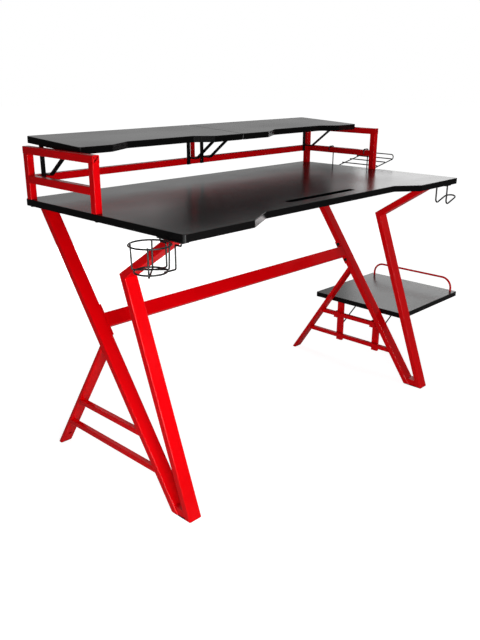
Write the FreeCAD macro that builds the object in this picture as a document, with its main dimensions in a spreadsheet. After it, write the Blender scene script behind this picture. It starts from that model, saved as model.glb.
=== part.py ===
import FreeCAD, Part
import Sketcher
import math
import os
import re
from FreeCAD import Placement, Rotation, Vector

# A gaming desk: a board top on two tube leg frames, a riser with a monitor shelf,
# a cup holder, a headphone hook, a controller rack and a stand for a computer.
# Millimetres, +Z up, +X to the right of a seated person, +Y to the back.
# The origin is on the floor under the middle of the top.

doc = FreeCAD.newDocument("gaming_desk")

SIZES = {
    # Desktop
    "desk_width": 1200,
    "desk_depth": 650,
    "desk_height": 750,
    "board_thickness": 18,
    "board_corner_radius": 10,
    "board_edge_radius": 1.5,
    "recess_depth": 53,
    "recess_left_reach": 281,
    "recess_left_run": 98,
    "recess_right_reach": 301,
    "recess_right_run": 69,
    "groove_length": 300,
    "groove_width": 26,
    "groove_depth": 8,
    "groove_setback": 40,
    "groove_offset": 9,
    # Riser frames and rear beam
    "riser_tube": 20,
    "riser_wall": 1.5,
    "riser_corner_radius": 2,
    "riser_height": 140,
    "riser_length": 319,
    "riser_back_gap": 11,
    "riser_base_thickness": 6,
    "lower_rail_rise": 44,
    "plug_length": 12,
    "centre_post_size": 10,
    # Monitor shelf
    "shelf_depth": 247,
    "shelf_slope": 3,
    "shelf_back_rise": 146.5,
    "shelf_back_gap": 0,
    "shelf_end_gap": 1,
    "shelf_seam": 1,
    "shelf_notch_depth": 30,
    "shelf_notch_inner_start": 115,
    "shelf_notch_inner_end": 175,
    "shelf_notch_outer_start": 410,
    "shelf_notch_outer_end": 480,
    "shelf_corner_radius": 6,
    # Shelf brackets
    "bracket_width": 12,
    "bracket_thickness": 4,
    "bracket_tab": 42,
    "bracket_reach": 138,
    "bracket_end_inset": 44,
    "bracket_middle_offset": 29,
    # Leg frames
    "leg_inset": 22,
    "leg_width": 40,
    "leg_depth": 20,
    "leg_wall": 1.5,
    "leg_corner_radius": 3,
    "foot_pad_height": 2,
    "foot_pad_inset": 1,
    "mount_plate_thickness": 3,
    "front_heel_setback": 50,
    "bend_setback": 272,
    "bend_drop": 143,
    "arm_top_setback": 85,
    "diagonal_heel_setback": 101,
    "diagonal_top_gap": 32,
    "bridge_height": 20,
    "rear_leg_depth": 12,
    "rear_leg_width": 38,
    "rear_leg_gap": 18,
    "rear_leg_top": 388,
    "leg_hole_height": 40,
    "leg_hole_diameter": 11,
    "rung_size": 15,
    "rung_wall": 1.2,
    "rung_corner_radius": 1.5,
    "upper_rung_height": 182,
    "lower_rung_height": 97,
    "front_plate_length": 82,
    "rear_plate_length": 100,
    "plate_screw_margin": 20,
    "plate_screw_spacing": 24,
    # Stretcher
    "stretcher_height": 442,
    "stretcher_width": 40,
    "stretcher_plate_length": 90,
    "stretcher_plate_thickness": 3,
    "stretcher_bolt_spacing": 64,
    # Cup holder
    "cup_wire": 4,
    "cup_offset": 54,
    "cup_setback": 50,
    "cup_top_radius": 46,
    "cup_base_radius": 36,
    "cup_top_drop": 20,
    "cup_base_drop": 79,
    "cup_mount_spacing": 31,
    "cup_mount_tuck": 0.5,
    "cup_mount_inset": 4,
    "cup_jog_drop": 28,
    "cup_plate_width": 18,
    "cup_plate_margin": 8.5,
    "wire_weld_gap": 0.1,
    # Headphone hook
    "hook_wire": 5,
    "hook_inset": 55,
    "hook_spacing": 37,
    "hook_drop": 84,
    "hook_tip_drop": 61,
    "hook_reach": 72,
    "hook_bend_radius": 12,
    "hook_plate_width": 32,
    "hook_plate_margin": 3.5,
    "hook_plate_gap": 1.3,
    # Controller rack
    "rack_wire": 4,
    "rack_gap": 0.5,
    "rack_post_gap": 20,
    "rack_length": 153,
    "rack_lip": 16,
    "rack_drop": 11,
    "rack_reach": 173,
    "rack_rise": 32,
    "rack_guard_rise": 16,
    "rack_bend_radius": 4.5,
    "rack_guard_radius": 8,
    # Computer stand
    "cpu_board_size": 400,
    "cpu_board_gap": 3,
    "cpu_board_top": 245,
    "cpu_board_setback": 150,
    "upright_width": 26,
    "upright_depth": 12,
    "upright_wall": 1.2,
    "upright_bottom": 72,
    "upright_front_gap": 29,
    "upright_rear_gap": 63,
    "arm_thickness": 4,
    "arm_length": 358,
    "hanger_thickness": 3,
    "hanger_drop": 20,
    "hanger_gap": 0.3,
    "bumper_height": 14,
    "brace_wire": 5,
    "brace_start_drop": 80,
    "brace_reach": 130,
    "guard_wire": 8,
    "guard_inset": 17,
    "guard_length": 360,
    "guard_height": 55,
    "guard_bend_radius": 40,
    "guard_seat_depth": 10,
    # Fasteners
    "screw_diameter": 4,
    "screw_head_diameter": 8,
    "screw_head_height": 2.5,
    "screw_bite": 11,
    "bolt_diameter": 6,
    "bolt_head_diameter": 12,
    "bolt_head_height": 3.5,
    "hole_clearance": 0.2,
}

LAYOUT = {
    # Top
    "half_width": "desk_width / 2",
    "front_y": "-desk_depth / 2",
    "back_y": "desk_depth / 2",
    "underside": "desk_height - board_thickness",
    "plate_bottom": "underside - mount_plate_thickness",
    "recess_y": "front_y + recess_depth",
    "groove_y": "recess_y + groove_setback + groove_width / 2",
    "groove_reach": "groove_length / 2 - groove_width / 2",
    "screw_hole": "screw_diameter + hole_clearance",
    "bolt_hole": "bolt_diameter + hole_clearance",
    # Riser
    "riser_x": "half_width - riser_tube / 2",
    "riser_back": "back_y - riser_back_gap",
    "riser_front": "riser_back - riser_length",
    "riser_top": "desk_height + riser_height",
    "post_top": "riser_top - riser_tube",
    "front_post_y": "riser_front + riser_tube / 2",
    "back_post_y": "riser_back - riser_tube / 2",
    "beam_front": "riser_back - riser_tube",
    "rail_bottom": "desk_height + lower_rail_rise",
    "rail_top": "rail_bottom + riser_tube",
    "beam_length": "desk_width - 2 * riser_tube",
    "riser_bore": "riser_tube - 2 * riser_wall",
    # Monitor shelf: its underside is a plane that rises to the back
    "shelf_back": "back_y - shelf_back_gap",
    "shelf_low": "desk_height + shelf_back_rise",
    "shelf_rise": "tan(shelf_slope)",
    "shelf_end": "half_width - riser_tube - shelf_end_gap",
    "shelf_half_seam": "shelf_seam / 2",
    # Brackets: a leg down the front of the beam, and a tab, a strut and a top arm that close a loop
    "bracket_tab_y": "beam_front - bracket_tab",
    "bracket_tip_y": "beam_front - bracket_reach",
    "bracket_tip_z": "shelf_low + (bracket_tip_y - shelf_back) * shelf_rise",
    "bracket_back_z": "shelf_low + (beam_front - shelf_back) * shelf_rise",
    "strut_run": "(bracket_tip_y - bracket_tab_y) / (bracket_tip_z - rail_top)",
    "strut_span": "bracket_thickness * sqrt(1 + strut_run ^ 2)",
    "bracket_in_y": "beam_front - bracket_thickness",
    "bracket_in_low": "rail_top + bracket_thickness",
    "bracket_in_high": "shelf_low + (bracket_in_y - shelf_back) * shelf_rise - bracket_thickness",
    "bracket_in_tab_y": "bracket_tab_y + strut_span + strut_run * bracket_thickness",
    "bracket_in_tip_z": "(shelf_low + (bracket_tab_y + strut_span - strut_run * rail_top - shelf_back)"
                        " * shelf_rise - bracket_thickness) / (1 - shelf_rise * strut_run)",
    "bracket_in_tip_y": "bracket_tab_y + strut_span + strut_run * (bracket_in_tip_z - rail_top)",
    "bracket_end_x": "half_width - bracket_end_inset",
    "bracket_screw_z": "rail_bottom + riser_tube / 2",
    "shelf_screw_back": "(beam_front - shelf_back - bracket_reach * 0.25) / cos(shelf_slope)",
    "shelf_screw_front": "(beam_front - shelf_back - bracket_reach * 0.62) / cos(shelf_slope)",
    # Leg frames, seen from the side
    "leg_spread": "desk_width - 2 * leg_inset",
    "leg_x": "leg_spread / 2 - leg_width / 2",
    "leg_inner": "leg_spread / 2 - leg_width",
    "diagonal_heel": "front_y + diagonal_heel_setback",
    "diagonal_top": "back_y - diagonal_top_gap",
    "diagonal_run": "(diagonal_top - diagonal_heel) / plate_bottom",
    "diagonal_secant": "sqrt(1 + diagonal_run ^ 2)",
    "diagonal_span": "leg_depth * diagonal_secant",
    "diagonal_foot": "diagonal_heel + diagonal_run * foot_pad_height",
    "front_heel": "front_y + front_heel_setback",
    "bend_y": "front_y + bend_setback",
    "bend_height": "desk_height - bend_drop",
    "front_run": "(bend_y - front_heel) / bend_height",
    "front_secant": "sqrt(1 + front_run ^ 2)",
    "front_span": "leg_depth * front_secant",
    "front_foot": "front_heel + front_run * foot_pad_height",
    "arm_top": "front_y + arm_top_setback",
    "arm_rise": "plate_bottom - bend_height",
    "arm_run": "bend_y - arm_top",
    "arm_slant": "sqrt(arm_rise ^ 2 + arm_run ^ 2)",
    "arm_span": "leg_depth * arm_slant / arm_rise",
    "bend_share": "leg_depth / (1 + (arm_rise - front_run * arm_run) / (front_secant * arm_slant))",
    "knee_y": "bend_y - bend_share * (1 / front_secant + arm_rise / arm_slant)",
    "knee_z": "bend_height + bend_share * (front_run / front_secant - arm_run / arm_slant)",
    "bridge_top": "foot_pad_height + bridge_height",
    "rear_leg_x": "leg_spread / 2 - rear_leg_width / 2",
    "rung_x": "leg_spread / 2 - rung_size / 2",
    "rear_heel": "back_y - rear_leg_gap",
    "rear_top_y": "diagonal_heel + diagonal_run * rear_leg_top",
    "rear_run": "(rear_top_y - rear_heel) / rear_leg_top",
    "rear_span": "rear_leg_depth * sqrt(1 + rear_run ^ 2)",
    "rear_foot": "rear_heel + rear_run * foot_pad_height",
    "rear_low_z": "(rear_heel - rear_span - diagonal_heel) / (diagonal_run - rear_run)",
    "rear_low_y": "diagonal_heel + diagonal_run * rear_low_z",
    "leg_hole_y": "rear_heel + rear_run * leg_hole_height - rear_span / 2",
    "front_plate_front": "arm_top - arm_span",
    "front_plate_back": "front_plate_front + front_plate_length",
    "rear_plate_back": "diagonal_top + plate_screw_margin",
    "rear_plate_front": "rear_plate_back - rear_plate_length",
    "front_screw_y": "front_plate_back - plate_screw_margin",
    "rear_screw_y": "rear_plate_front + plate_screw_margin",
    # Stretcher: its section lies along the slope of the diagonal legs
    "stretcher_y": "diagonal_heel + diagonal_run * stretcher_height - diagonal_span / 2",
    "slope_sine": "diagonal_run / diagonal_secant",
    "slope_cosine": "1 / diagonal_secant",
    "stretcher_length": "2 * (leg_inner - stretcher_plate_thickness)",
    # Cup holder
    "cup_x": "-half_width - cup_offset",
    "cup_y": "front_y + cup_setback",
    "cup_top": "desk_height - cup_top_drop",
    "cup_base": "desk_height - cup_base_drop",
    "cup_pitch": "cup_wire + wire_weld_gap",
    "cup_mount_x": "-half_width + cup_mount_inset",
    "cup_plate_x": "-half_width + 1 + cup_plate_width / 2",
    "cup_mount_outer": "cup_base_radius - cup_mount_tuck",
    "cup_plate_length": "2 * (cup_mount_outer + cup_plate_margin)",
    # Headphone hook: its plate sits just in front of the mount plate of the right leg
    "hook_x": "half_width - hook_inset",
    "hook_plate_length": "hook_spacing + 2 * hook_plate_margin",
    "hook_middle": "front_plate_front - hook_plate_gap - hook_plate_length / 2",
    "hook_front": "hook_middle - hook_spacing / 2",
    "hook_loop_radius": "hook_spacing / 2 - wire_weld_gap",
    # Controller rack
    "rack_front": "riser_front + riser_tube + rack_post_gap",
    "rack_over": "rail_top + rack_gap + rack_wire / 2",
    "rack_inner_x": "half_width - riser_tube - rack_gap - rack_wire / 2",
    "rack_outer_x": "half_width + rack_gap + rack_wire / 2",
    "rack_low": "desk_height - rack_drop - rack_wire",
    "rack_tip_x": "half_width + rack_reach",
    "rack_tip_z": "rack_low + rack_rise",
    "rack_guard_z": "rack_tip_z + rack_guard_rise",
    # Computer stand
    "cpu_left": "leg_spread / 2 + cpu_board_gap",
    "cpu_front": "front_y + cpu_board_setback",
    "cpu_low": "cpu_board_top - board_thickness",
    "arm_low": "cpu_low - arm_thickness",
    "rung_outer": "leg_spread / 2",
    "upright_x": "rung_outer + hanger_gap + hanger_thickness",
    "rung_high": "upper_rung_height + rung_size / 2",
    "upright_front_y": "diagonal_heel + diagonal_run * rung_high + upright_front_gap",
    "upright_rear_y": "rear_heel - rear_span + rear_run * rung_high - upright_rear_gap",
    "hanger_low": "rung_high + hanger_gap",
    "hanger_top": "hanger_low + hanger_thickness",
    "hanger_inner": "rung_outer - rung_size - hanger_gap",
    "guard_x": "cpu_left + cpu_board_size - guard_inset",
    "guard_front": "cpu_front + (cpu_board_size - guard_length) / 2",
    "guard_back": "guard_front + guard_length",
    "guard_top": "cpu_board_top + guard_height - guard_wire / 2",
    "cpu_screw_near": "upright_x + arm_length * 0.3",
    "cpu_screw_far": "upright_x + arm_length * 0.9",
}


def bound(text, sheet_name="Layout."):
    """Turn plain size names in a formula into references to the sheets."""
    def reference(match):
        word = match.group(0)
        if word in SIZES:
            return "Sizes." + word
        if word in LAYOUT:
            return sheet_name + word
        return word
    return re.sub(r"[a-z_]{3,}", reference, text)


def fill_sheet(name, cells):
    sheet = doc.addObject("Spreadsheet::Sheet", name)
    for row, (alias, content) in enumerate(cells.items(), start=1):
        sheet.set(f"A{row}", alias)
        sheet.setAlias(f"B{row}", alias)
        sheet.set(f"B{row}", content)
    return sheet


sizes = fill_sheet("Sizes", {name: str(number) for name, number in SIZES.items()})
layout = fill_sheet("Layout", {name: "=" + bound(text, "") for name, text in LAYOUT.items()})
doc.recompute()


def size(name):
    """The present value of one size or position."""
    sheet = sizes if name in SIZES else layout
    found = sheet.get(name)
    return float(getattr(found, "Value", found))


nodes = []


def new_body(label, x=None, y=None, z=None):
    body = doc.addObject("PartDesign::Body", label)
    body.Label = label
    for axis, text in zip("xyz", (x, y, z)):
        if text:
            body.setExpression("Placement.Base." + axis, bound(text))
    nodes.append(body)
    return body


def new_sketch(body, role, lift=None):
    plane = [item for item in body.Origin.OriginFeatures if item.Role == role][0]
    sketch = body.newObject("Sketcher::SketchObject", body.Label + "_sketch")
    sketch.AttachmentSupport = [(plane, "")]
    sketch.MapMode = "FlatFace"
    if lift:
        sketch.setExpression("AttachmentOffset.Base.z", bound(lift))
    return sketch


def pin_point(sketch, geometry, end, start, place):
    """Fix one point of a sketch at formulas for its two coordinates."""
    for kind, number, text in zip(("DistanceX", "DistanceY"), (start.x, start.y), place):
        index = sketch.addConstraint(Sketcher.Constraint(kind, -1, 1, geometry, end, number))
        sketch.setExpression(f"Constraints[{index}]", bound(text))


def add_polygon(sketch, corners):
    count = len(corners)
    first = sketch.GeometryCount
    turn = 2 * math.pi / count
    reach = Vector(size("desk_depth"), 0, 0)
    starts = [Rotation(Vector(0, 0, 1), math.degrees(turn * i)).multVec(reach) for i in range(count)]
    for i in range(count):
        sketch.addGeometry(Part.LineSegment(starts[i], starts[(i + 1) % count]), False)
    for i in range(count):
        sketch.addConstraint(Sketcher.Constraint("Coincident", first + i, 2, first + (i + 1) % count, 1))
    for i, corner in enumerate(corners):
        pin_point(sketch, first + i, 1, starts[i], corner)


def add_circle(sketch, place, diameter):
    start = Vector(7, 5, 0)
    index = sketch.addGeometry(Part.Circle(start, Vector(0, 0, 1), 2), False)
    pin_point(sketch, index, 3, start, place)
    rule = sketch.addConstraint(Sketcher.Constraint("Diameter", index, 4))
    sketch.setExpression(f"Constraints[{rule}]", bound(diameter))


def add_pad(body, sketch, length, symmetric=False):
    pad = body.newObject("PartDesign::Pad", body.Label + "_pad")
    pad.Profile = sketch
    pad.SideType = "Symmetric" if symmetric else "One side"
    pad.setExpression("Length", bound(length))
    doc.recompute()
    return pad


def add_pocket(body, sketch, length, symmetric=False, reverse=False):
    before = body.Shape.Volume
    pocket = body.newObject("PartDesign::Pocket", body.Label + "_pocket")
    pocket.Profile = sketch
    pocket.SideType = "Symmetric" if symmetric else "One side"
    pocket.Reversed = reverse
    pocket.setExpression("Length", bound(length))
    doc.recompute()
    if body.Shape.Volume > before - 1:
        raise RuntimeError("the pocket in " + body.Label + " removes nothing")
    return pocket


def add_fillet(body, base, names, radius):
    fillet = body.newObject("PartDesign::Fillet", body.Label + "_fillet")
    fillet.Base = (base, names)
    fillet.setExpression("Radius", bound(radius))
    doc.recompute()
    return fillet


def edges_along(shape, direction):
    """Names of the straight edges that run along a direction."""
    names = []
    for number, edge in enumerate(shape.Edges, start=1):
        if isinstance(edge.Curve, Part.Line):
            along = edge.Vertexes[-1].Point - edge.Vertexes[0].Point
            if along.normalize().cross(direction).Length < 0.0001:
                names.append(f"Edge{number}")
    return names


def face_at(shape, normal):
    """Name of the flat face that lies furthest out along a direction."""
    flat = []
    for number, face in enumerate(shape.Faces, start=1):
        if isinstance(face.Surface, Part.Plane) and face.normalAt(0, 0).dot(normal) > 0.999:
            flat.append((face.CenterOfMass.dot(normal), f"Face{number}"))
    return max(flat)[1]


def between(start, end, share):
    """Formulas for the point that lies a share of the way from start to end."""
    return tuple(f"({a}) + (({b}) - ({a})) * ({share})" for a, b in zip(start, end))


def side_tube(label, x, corners, width, depth, wall, radius, base="0"):
    """A tube in a plane of constant X, from its side view: the first two corners
    are one cut end and the last two are the other."""
    body = new_body(label, x)
    sketch = new_sketch(body, "YZ_Plane")
    add_polygon(sketch, corners)
    pad = add_pad(body, sketch, width, symmetric=True)
    side = sketch.Geometry[1]
    run = side.EndPoint - side.StartPoint
    add_fillet(body, pad, edges_along(pad.Shape, Vector(0, run.x, run.y).normalize()), radius)
    share = f"{wall} / ({depth})"
    inner = [
        between(corners[0], corners[1], share),
        between(corners[1], corners[0], share),
        between(corners[2], corners[3], share),
        between(corners[3], corners[2], share),
    ]
    inner[0] = (inner[0][0], f"{inner[0][1]} + {base}")
    inner[1] = (inner[1][0], f"{inner[1][1]} + {base}")
    bore = new_sketch(body, "YZ_Plane")
    add_polygon(bore, inner)
    add_pocket(body, bore, f"{width} - 2 * {wall}", symmetric=True)
    return body


def cross_tube(label, corners, sides, length, wall, radius):
    """A tube along X, from its section."""
    body = new_body(label)
    sketch = new_sketch(body, "YZ_Plane")
    add_polygon(sketch, corners)
    inner = []
    for i in range(4):
        near = between(corners[i], corners[(i + 1) % 4], f"{wall} / ({sides[i % 2]})")
        far = between(corners[i], corners[i - 1], f"{wall} / ({sides[(i + 1) % 2]})")
        inner.append(tuple(f"{a} + {b} - ({c})" for a, b, c in zip(near, far, corners[i])))
    add_polygon(sketch, inner)
    pad = add_pad(body, sketch, length, symmetric=True)
    outer = set()
    for corner in sketch.Geometry[:4]:
        for number, edge in enumerate(pad.Shape.Edges, start=1):
            middle = edge.CenterOfMass
            off_corner = math.hypot(middle.y - corner.StartPoint.x, middle.z - corner.StartPoint.y)
            if abs(middle.x) < 1 and off_corner < 0.01:
                outer.add(f"Edge{number}")
    add_fillet(body, pad, sorted(outer), radius)
    return body


def add_node(label, shape):
    node = doc.addObject("Part::Feature", label)
    node.Label = label
    node.Shape = shape
    node.Placement = Placement()
    nodes.append(node)
    return node


def bent_wire(points, diameter, radii):
    """A round wire through the points, with an arc at each bend."""
    edges = []
    last = points[0]
    for before, corner, after, radius in zip(points, points[1:], points[2:], radii):
        back = (before - corner).normalize()
        ahead = (after - corner).normalize()
        half = back.getAngle(ahead) / 2
        setback = radius / math.tan(half)
        middle = corner + (back + ahead).normalize() * (radius / math.sin(half) - radius)
        start = corner + back * setback
        end = corner + ahead * setback
        edges.append(Part.LineSegment(last, start).toShape())
        edges.append(Part.Arc(start, middle, end).toShape())
        last = end
    edges.append(Part.LineSegment(last, points[-1]).toShape())
    path = Part.Wire(edges)
    section = Part.Wire(Part.makeCircle(diameter / 2, points[0], points[1] - points[0]))
    return path.makePipeShell([section], True, False)


def headed_pin(point, direction, diameter, length, head_diameter, head_height):
    """A screw or bolt whose head's seat is at the point and whose shank runs along the direction."""
    shank = Part.makeCylinder(diameter / 2, length, point, direction)
    head = Part.makeCylinder(head_diameter / 2, head_height, point, direction * -1)
    return shank.fuse(head).removeSplitter()


def wood_screw(point, direction, length):
    return headed_pin(point, direction, size("screw_diameter"), length,
                      size("screw_head_diameter"), size("screw_head_height"))


def bolt(point, direction, length):
    return headed_pin(point, direction, size("bolt_diameter"), length,
                      size("bolt_head_diameter"), size("bolt_head_height"))


# Desktop: a board with a recessed front edge, a tablet groove and fixing holes
desktop = new_body("desktop_board", z="underside")
outline = new_sketch(desktop, "XY_Plane")
add_polygon(outline, [
    ("-half_width", "front_y"),
    ("-recess_left_reach - recess_left_run", "front_y"),
    ("-recess_left_reach", "recess_y"),
    ("recess_right_reach", "recess_y"),
    ("recess_right_reach + recess_right_run", "front_y"),
    ("half_width", "front_y"),
    ("half_width", "back_y"),
    ("-half_width", "back_y"),
])
board = add_pad(desktop, outline, "board_thickness")
rounded = add_fillet(desktop, board, edges_along(board.Shape, Vector(0, 0, 1)), "board_corner_radius")
add_fillet(desktop, rounded, [face_at(rounded.Shape, Vector(0, 0, 1))], "board_edge_radius")
groove = new_sketch(desktop, "XY_Plane", "board_thickness")
add_polygon(groove, [
    ("groove_offset - groove_reach", "groove_y - groove_width / 2"),
    ("groove_offset + groove_reach", "groove_y - groove_width / 2"),
    ("groove_offset + groove_reach", "groove_y + groove_width / 2"),
    ("groove_offset - groove_reach", "groove_y + groove_width / 2"),
])
add_pocket(desktop, groove, "groove_depth")
for side in ("-", "+"):
    groove_end = new_sketch(desktop, "XY_Plane", "board_thickness")
    add_circle(groove_end, (f"groove_offset {side} groove_reach", "groove_y"), "groove_width")
    add_pocket(desktop, groove_end, "groove_depth")

riser_holes = new_sketch(desktop, "XY_Plane")
for side in ("-", ""):
    for place in ("front_post_y", "back_post_y"):
        add_circle(riser_holes, (side + "riser_x", place), "bolt_hole")
add_pocket(desktop, riser_holes, "board_thickness", reverse=True)

leg_screw_places = [
    (f"{side}leg_x {shift} plate_screw_spacing / 2", row)
    for side in ("-", "")
    for row in ("front_screw_y", "rear_screw_y")
    for shift in ("-", "+")
]
accessory_screw_places = [
    ("cup_plate_x + 2", "cup_y - cup_mount_spacing / 4"),
    ("cup_plate_x + 2", "cup_y + cup_mount_spacing / 4"),
    ("hook_x - hook_plate_width / 4", "hook_middle"),
    ("hook_x + hook_plate_width / 4", "hook_middle"),
]
pilot_holes = new_sketch(desktop, "XY_Plane")
for place in leg_screw_places + accessory_screw_places:
    add_circle(pilot_holes, place, "screw_hole")
add_pocket(desktop, pilot_holes, "screw_bite + hole_clearance", reverse=True)

# Riser frames: posts with closed feet, a rail on top of them and a rail between them
for side, sign in (("left", "-"), ("right", "")):
    for end, place in (("front", "front_post_y"), ("back", "back_post_y")):
        post = side_tube(f"riser_post_{end}_{side}", sign + "riser_x", [
            (place + " + riser_tube / 2", "desk_height"),
            (place + " - riser_tube / 2", "desk_height"),
            (place + " - riser_tube / 2", "post_top"),
            (place + " + riser_tube / 2", "post_top"),
        ], "riser_tube", "riser_tube", "riser_wall", "riser_corner_radius", base="riser_base_thickness")
        foot_hole = new_sketch(post, "XY_Plane", "desk_height")
        add_circle(foot_hole, ("0", place), "bolt_hole")
        add_pocket(post, foot_hole, "riser_base_thickness", reverse=True)
    side_tube(f"riser_top_rail_{side}", sign + "riser_x", [
        ("riser_front", "riser_top"),
        ("riser_front", "post_top"),
        ("riser_back", "post_top"),
        ("riser_back", "riser_top"),
    ], "riser_tube", "riser_tube", "riser_wall", "riser_corner_radius")
    side_tube(f"riser_lower_rail_{side}", sign + "riser_x", [
        ("riser_front + riser_tube", "rail_top"),
        ("riser_front + riser_tube", "rail_bottom"),
        ("beam_front", "rail_bottom"),
        ("beam_front", "rail_top"),
    ], "riser_tube", "riser_tube", "riser_wall", "riser_corner_radius")

plugs = []
for sign in (-1, 1):
    for place in (size("riser_front"), size("riser_back") - size("plug_length")):
        plugs.append(Part.makeBox(
            size("riser_bore"), size("plug_length"), size("riser_bore"),
            Vector(sign * size("riser_x") - size("riser_bore") / 2, place,
                   size("post_top") + size("riser_wall"))))
add_node("rail_end_plugs", Part.makeCompound(plugs))

# Rear beam between the back posts, drilled for the brackets
beam = cross_tube("rear_beam", [
    ("beam_front", "rail_bottom"),
    ("riser_back", "rail_bottom"),
    ("riser_back", "rail_top"),
    ("beam_front", "rail_top"),
], ("riser_tube", "riser_tube"), "beam_length", "riser_wall", "riser_corner_radius")
bracket_places = {
    "left_end": "-bracket_end_x",
    "left_middle": "-bracket_middle_offset",
    "right_middle": "bracket_middle_offset",
    "right_end": "bracket_end_x",
}
beam_holes = new_sketch(beam, "XZ_Plane", "-beam_front")
for place in bracket_places.values():
    add_circle(beam_holes, (place, "bracket_screw_z"), "screw_hole")
add_pocket(beam, beam_holes, "riser_wall * 2")

# Short bar under the seam of the shelf
post = new_body("shelf_centre_post")
section = new_sketch(post, "YZ_Plane")
front_side = "back_post_y - centre_post_size / 2"
back_side = "back_post_y + centre_post_size / 2"
add_polygon(section, [
    (front_side, "rail_top"),
    (back_side, "rail_top"),
    (back_side, f"shelf_low + ({back_side} - shelf_back) * shelf_rise"),
    (front_side, f"shelf_low + ({front_side} - shelf_back) * shelf_rise"),
])
add_pad(post, section, "centre_post_size", symmetric=True)

# Shelf boards: drawn flat from their back lower edge, then tilted down to the front
for side, sign in (("left", "-"), ("right", "")):
    shelf = new_body(f"shelf_board_{side}", y="shelf_back", z="shelf_low")
    shelf.Placement = Placement(Vector(), Rotation(Vector(1, 0, 0), 1))
    shelf.setExpression("Placement.Rotation.Angle", bound("shelf_slope"))
    outline = new_sketch(shelf, "XY_Plane")
    add_polygon(outline, [
        (sign + "shelf_half_seam", "0"),
        (sign + "shelf_half_seam", "-shelf_depth"),
        (sign + "shelf_notch_inner_start", "-shelf_depth"),
        (sign + "shelf_notch_inner_end", "-shelf_depth + shelf_notch_depth"),
        (sign + "shelf_notch_outer_start", "-shelf_depth + shelf_notch_depth"),
        (sign + "shelf_notch_outer_end", "-shelf_depth"),
        (sign + "shelf_end", "-shelf_depth"),
        (sign + "shelf_end", "0"),
    ])
    board = add_pad(shelf, outline, "board_thickness")
    upright_edges = edges_along(board.Shape, Vector(0, 0, 1))
    rounded = add_fillet(shelf, board, upright_edges, "shelf_corner_radius")
    add_fillet(shelf, rounded, [face_at(rounded.Shape, Vector(0, 0, 1))], "board_edge_radius")
    pilot_holes = new_sketch(shelf, "XY_Plane")
    for place in ("bracket_end_x", "bracket_middle_offset"):
        for row in ("shelf_screw_back", "shelf_screw_front"):
            add_circle(pilot_holes, (sign + place, row), "screw_hole")
    add_pocket(shelf, pilot_holes, "screw_bite + hole_clearance", reverse=True)

# Shelf brackets: closed strips of flat bar on the front of the beam
tilt = Rotation(Vector(1, 0, 0), size("shelf_slope"))
shelf_normal = tilt.multVec(Vector(0, 0, 1))
shelf_corner = Vector(0, size("shelf_back"), size("shelf_low"))
bracket_screws = []
for name, place in bracket_places.items():
    bracket = new_body("shelf_bracket_" + name, place)
    profile = new_sketch(bracket, "YZ_Plane")
    add_polygon(profile, [
        ("beam_front", "rail_bottom"),
        ("beam_front", "bracket_back_z"),
        ("bracket_tip_y", "bracket_tip_z"),
        ("bracket_tab_y", "rail_top"),
        ("bracket_in_y", "rail_top"),
        ("bracket_in_y", "rail_bottom"),
    ])
    add_polygon(profile, [
        ("bracket_in_y", "bracket_in_low"),
        ("bracket_in_y", "bracket_in_high"),
        ("bracket_in_tip_y", "bracket_in_tip_z"),
        ("bracket_in_tab_y", "bracket_in_low"),
    ])
    add_pad(bracket, profile, "bracket_width", symmetric=True)
    beam_hole = new_sketch(bracket, "XZ_Plane", "-beam_front")
    add_circle(beam_hole, ("0", "bracket_screw_z"), "screw_hole")
    add_pocket(bracket, beam_hole, "bracket_thickness", reverse=True)
    x = (-1 if place.startswith("-") else 1) * size(place.lstrip("-"))
    seat = Vector(x, size("bracket_in_y"), size("bracket_screw_z"))
    bracket_screws.append(wood_screw(seat, Vector(0, 1, 0), size("screw_bite")))
    for row in ("shelf_screw_back", "shelf_screw_front"):
        shelf_hole = new_sketch(bracket, "XY_Plane")
        shelf_hole.AttachmentOffset = Placement(Vector(), Rotation(Vector(1, 0, 0), 1))
        shelf_hole.setExpression("AttachmentOffset.Rotation.Angle", bound("shelf_slope"))
        shelf_hole.setExpression("AttachmentOffset.Base.y", bound("shelf_back"))
        shelf_hole.setExpression("AttachmentOffset.Base.z", bound("shelf_low"))
        add_circle(shelf_hole, ("0", row), "screw_hole")
        add_pocket(bracket, shelf_hole, "bracket_thickness * 1.2")
        seat = shelf_corner + tilt.multVec(Vector(x, size(row), -size("bracket_thickness")))
        bracket_screws.append(wood_screw(seat, shelf_normal, size("bracket_thickness") + size("screw_bite")))
add_node("bracket_screws", Part.makeCompound(bracket_screws))

riser_bolts = []
for sign in (-1, 1):
    for place in ("front_post_y", "back_post_y"):
        seat = Vector(sign * size("riser_x"), size(place), size("underside"))
        riser_bolts.append(bolt(seat, Vector(0, 0, 1),
                                size("board_thickness") + size("riser_base_thickness")))
add_node("riser_bolts", Part.makeCompound(riser_bolts))

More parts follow.
